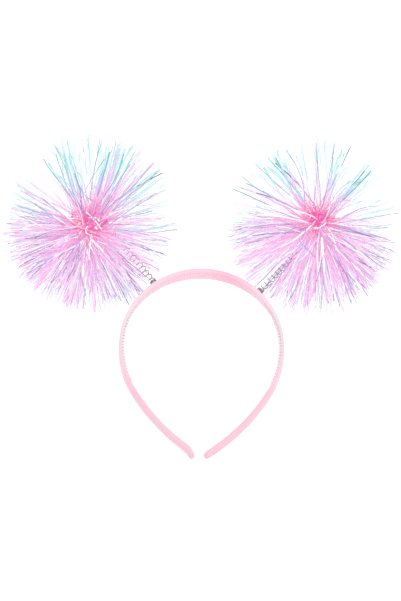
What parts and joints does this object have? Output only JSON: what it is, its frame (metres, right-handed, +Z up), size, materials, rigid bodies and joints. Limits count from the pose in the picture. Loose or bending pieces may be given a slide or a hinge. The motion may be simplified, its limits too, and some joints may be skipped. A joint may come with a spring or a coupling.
{
  "type": "pompom headband",
  "caption": "Moulded plastic comb headband with coil springs on its crown, each carrying a ball of iridescent film strips; worn on the head as a costume piece.",
  "frame": {"origin": "on the surface that the headband lies on, under the middle of its box", "axes": "+X to the side, from the left pompom to the right one; +Y from the open end of the band to its crown; +Z up from the surface"},
  "size_m": [0.3074, 0.2596, 0.1365],
  "materials": {
    "band_plastic": "smooth moulded pink plastic",
    "spring_steel": "bright drawn wire",
    "tinsel_film": "clear iridescent film in narrow strips, pink to lilac and aqua"
  },
  "bodies": {
    "root": {"headband": "band_plastic", "left_spring": "spring_steel", "right_spring": "spring_steel", "left_pompom": "tinsel_film", "right_pompom": "tinsel_film"}
  },
  "joints": []
}
